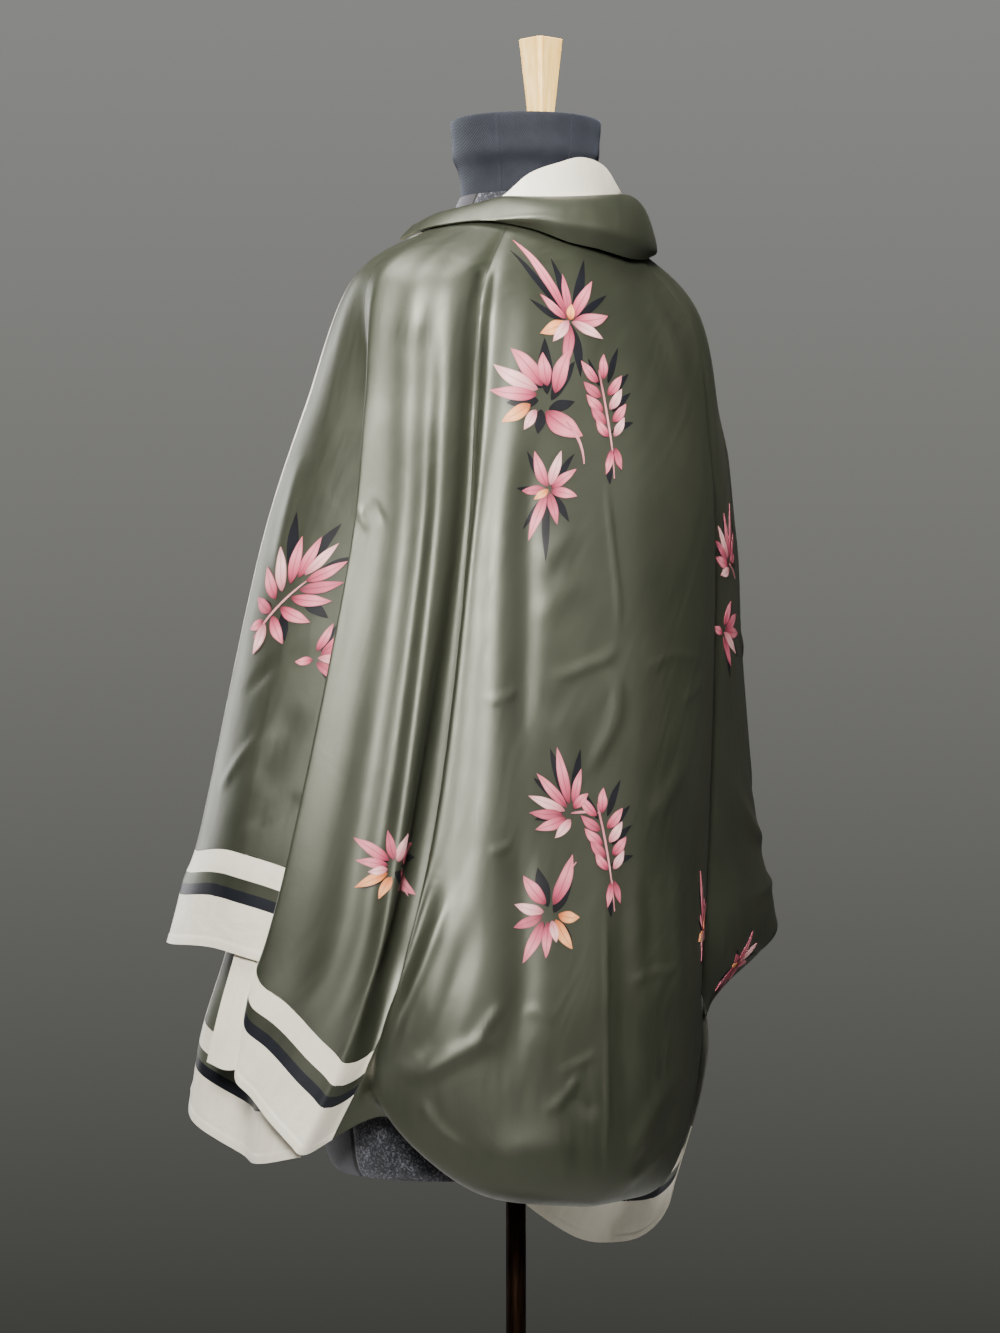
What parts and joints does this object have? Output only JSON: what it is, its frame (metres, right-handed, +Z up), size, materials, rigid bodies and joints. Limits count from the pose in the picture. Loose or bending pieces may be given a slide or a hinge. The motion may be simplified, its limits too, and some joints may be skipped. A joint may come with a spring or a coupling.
{
  "type": "evening stole on a dress form",
  "caption": "Satin evening stole with ivory borders and striped ends, worn as a cape over a limbless dress form on a round-based floor stand.",
  "frame": {"origin": "centre of the stand base's underside, on the floor", "axes": "+Z up along the pole; the dress form faces -Y, and its left side is +X"},
  "size_m": [0.4947, 0.323, 1.5785],
  "materials": {
    "satin": "satin weave with a soft sheen",
    "ivory_band": "matt ivory satin",
    "form_cloth": "napped wool",
    "neck_cloth": "matt twill",
    "pale_wood": "smooth",
    "pole_bronze": "satin",
    "base_steel": "satin"
  },
  "bodies": {
    "root": {"back_panel": "satin", "left_drape": "satin", "left_flap": "satin", "left_wing": "satin", "right_side": "satin", "collar_roll": "satin", "left_drape_band": "ivory_band", "left_flap_band": "ivory_band", "left_flap_border": "ivory_band", "left_underlap": "ivory_band", "left_wing_band": "ivory_band", "left_wing_border": "ivory_band", "right_side_band": "ivory_band", "right_side_border": "ivory_band", "neck_border": "ivory_band", "form_body": "form_cloth", "form_neck": "neck_cloth", "finial": "pale_wood", "pole": "pole_bronze", "base": "base_steel"}
  },
  "joints": []
}
